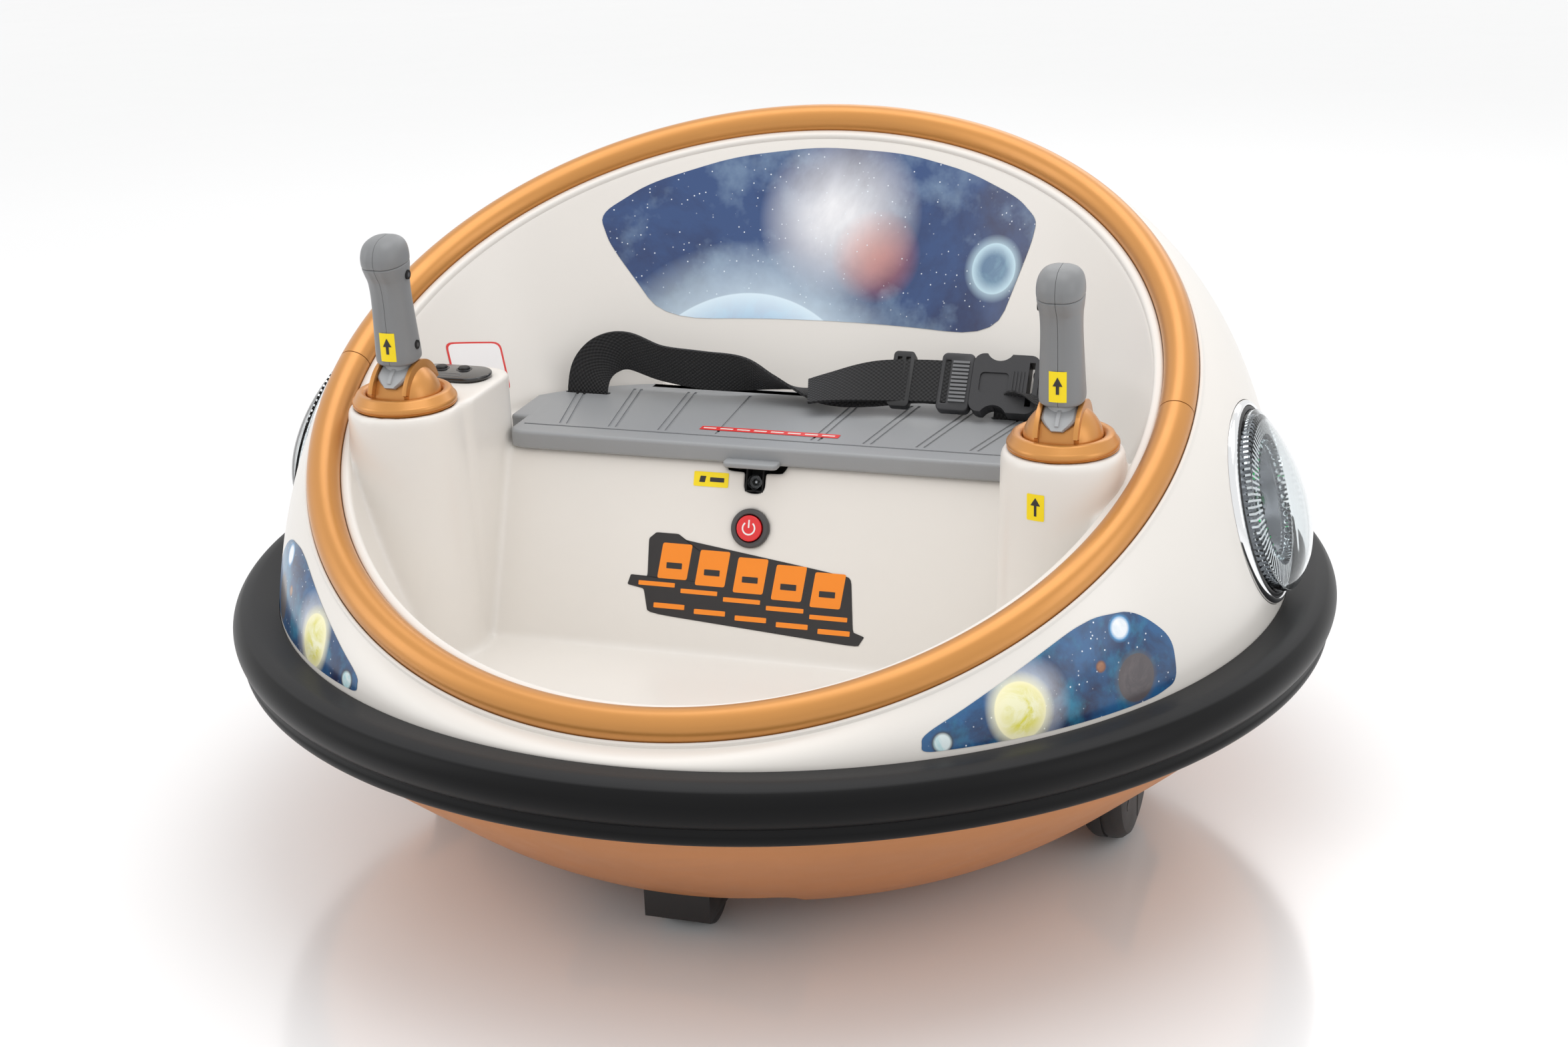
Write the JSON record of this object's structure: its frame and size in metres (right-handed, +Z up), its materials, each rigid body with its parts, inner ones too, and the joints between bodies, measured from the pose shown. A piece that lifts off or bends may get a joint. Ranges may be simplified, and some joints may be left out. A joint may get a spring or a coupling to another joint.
{
  "type": "ride-on bumper car",
  "caption": "Round battery ride-on bumper car for a toddler: tilted ring around the cabin, seat, two tilting joysticks, bumper ring, drive wheels and casters.",
  "frame": {"origin": "on the floor below the centre of the bumper ring", "axes": "+Z up, -Y towards the front that the rider faces, +X to the rider's left"},
  "size_m": [0.752, 0.752, 0.4519],
  "materials": {
    "white_shell": "satin-gloss",
    "bronze_trim": "metallic satin",
    "bronze_pan": "matte",
    "bumper_rubber": "satin",
    "seat_grey": "fine texture",
    "grip_grey": "satin",
    "webbing": "woven",
    "charcoal_plastic": "satin",
    "black_plastic": "gloss",
    "red_plastic": "gloss",
    "chrome_trim": "mirror",
    "clear_lens": "clear",
    "steel": "bare",
    "circuit_green": "solder mask"
  },
  "bodies": {
    "car": {"outer_shell": "white_shell", "inner_tub": "white_shell", "ring_front": "bronze_trim", "ring_rear": "bronze_trim", "bumper_ring": "bumper_rubber", "bottom_pan": "bronze_pan", "seat_hinge_pin_left": "steel", "seat_hinge_pin_right": "steel", "battery_strap": "steel", "joystick_left_collar": "bronze_trim", "joystick_left_dome": "bronze_trim", "joystick_left_pivot_pin": "steel", "headlight_left_bezel": "chrome_trim", "headlight_left_reflector": "chrome_trim", "headlight_left_lens": "clear_lens", "drive_left_motor": "steel", "drive_left_gearbox": "charcoal_plastic", "joystick_right_collar": "bronze_trim", "joystick_right_dome": "bronze_trim", "joystick_right_pivot_pin": "steel", "headlight_right_bezel": "chrome_trim", "headlight_right_reflector": "chrome_trim", "headlight_right_lens": "clear_lens", "drive_right_motor": "steel", "drive_right_gearbox": "charcoal_plastic", "caster_front_plate": "steel", "caster_rear_plate": "steel", "control_panel": "black_plastic", "charge_socket": "black_plastic", "speaker": "black_plastic", "power_bezel": "charcoal_plastic", "battery": "charcoal_plastic", "control_board": "circuit_green"},
    "joystick_left": {"joystick_left_stem": "seat_grey", "joystick_left_grip_left": "grip_grey", "joystick_left_grip_right": "grip_grey"},
    "joystick_right": {"joystick_right_stem": "seat_grey", "joystick_right_grip_left": "grip_grey", "joystick_right_grip_right": "grip_grey"},
    "seat_lid": {"seat_lid": "seat_grey", "belt_webbing_long": "webbing", "belt_webbing_short": "webbing", "buckle_male": "charcoal_plastic", "buckle_female": "charcoal_plastic"},
    "power_button": {"power_button": "red_plastic"},
    "panel_button_outer": {"panel_button_outer": "black_plastic"},
    "panel_button_inner": {"panel_button_inner": "black_plastic"},
    "charge_cap": {"charge_cap": "clear_lens"},
    "drive_wheel_left": {"drive_left_wheel": "black_plastic", "drive_left_axle": "steel"},
    "drive_wheel_right": {"drive_right_wheel": "black_plastic", "drive_right_axle": "steel"},
    "caster_front": {"caster_front_hood": "black_plastic", "caster_front_axle": "steel"},
    "caster_front_wheels": {"caster_front_wheel_left": "charcoal_plastic", "caster_front_wheel_right": "charcoal_plastic"},
    "caster_rear": {"caster_rear_hood": "black_plastic", "caster_rear_axle": "steel"},
    "caster_rear_wheels": {"caster_rear_wheel_left": "charcoal_plastic", "caster_rear_wheel_right": "charcoal_plastic"}
  },
  "joints": [
    {"name": "joystick_left_tilt", "type": "hinge", "parent": "car", "child": "joystick_left", "pos_m": [0.2204, -0.1158, 0.3068], "axis": [1, 0, 0], "range_deg": [-15, 15], "stiffness_Nm_per_rad": 0.6},
    {"name": "joystick_right_tilt", "type": "hinge", "parent": "car", "child": "joystick_right", "pos_m": [-0.2204, -0.1158, 0.3068], "axis": [1, 0, 0], "range_deg": [-15, 15], "stiffness_Nm_per_rad": 0.6},
    {"name": "seat_lid_hinge", "type": "hinge", "parent": "car", "child": "seat_lid", "pos_m": [0, 0.072, 0.2616], "axis": [-1, 0, 0], "range_deg": [0, 10]},
    {"name": "power_button_press", "type": "slide", "parent": "car", "child": "power_button", "axis": [0, 0.9357, -0.3528], "range_m": [0, 0.0025], "stiffness_N_per_m": 400},
    {"name": "panel_button_outer_press", "type": "slide", "parent": "car", "child": "panel_button_outer", "axis": [0, 0, -1], "range_m": [0, 0.0012], "stiffness_N_per_m": 300},
    {"name": "panel_button_inner_press", "type": "slide", "parent": "car", "child": "panel_button_inner", "axis": [0, 0, -1], "range_m": [0, 0.0012], "stiffness_N_per_m": 300},
    {"name": "charge_cap_hinge", "type": "hinge", "parent": "car", "child": "charge_cap", "pos_m": [0, -0.05714, 0.23805], "axis": [1, 0, 0], "range_deg": [0, 100]},
    {"name": "drive_wheel_left_spin", "type": "hinge", "parent": "car", "child": "drive_wheel_left", "pos_m": [0.239, -0.02, 0.06], "axis": [1, 0, 0], "continuous": true},
    {"name": "drive_wheel_right_spin", "type": "hinge", "parent": "car", "child": "drive_wheel_right", "pos_m": [-0.239, -0.02, 0.06], "axis": [1, 0, 0], "continuous": true},
    {"name": "caster_front_swivel", "type": "hinge", "parent": "car", "child": "caster_front", "pos_m": [0, -0.196, 0.04], "axis": [0, 0, 1], "continuous": true},
    {"name": "caster_front_spin", "type": "hinge", "parent": "caster_front", "child": "caster_front_wheels", "pos_m": [0, -0.208, 0.022], "axis": [1, 0, 0], "continuous": true},
    {"name": "caster_rear_swivel", "type": "hinge", "parent": "car", "child": "caster_rear", "pos_m": [0, 0.196, 0.04], "axis": [0, 0, 1], "continuous": true},
    {"name": "caster_rear_spin", "type": "hinge", "parent": "caster_rear", "child": "caster_rear_wheels", "pos_m": [0, 0.184, 0.022], "axis": [1, 0, 0], "continuous": true}
  ]
}
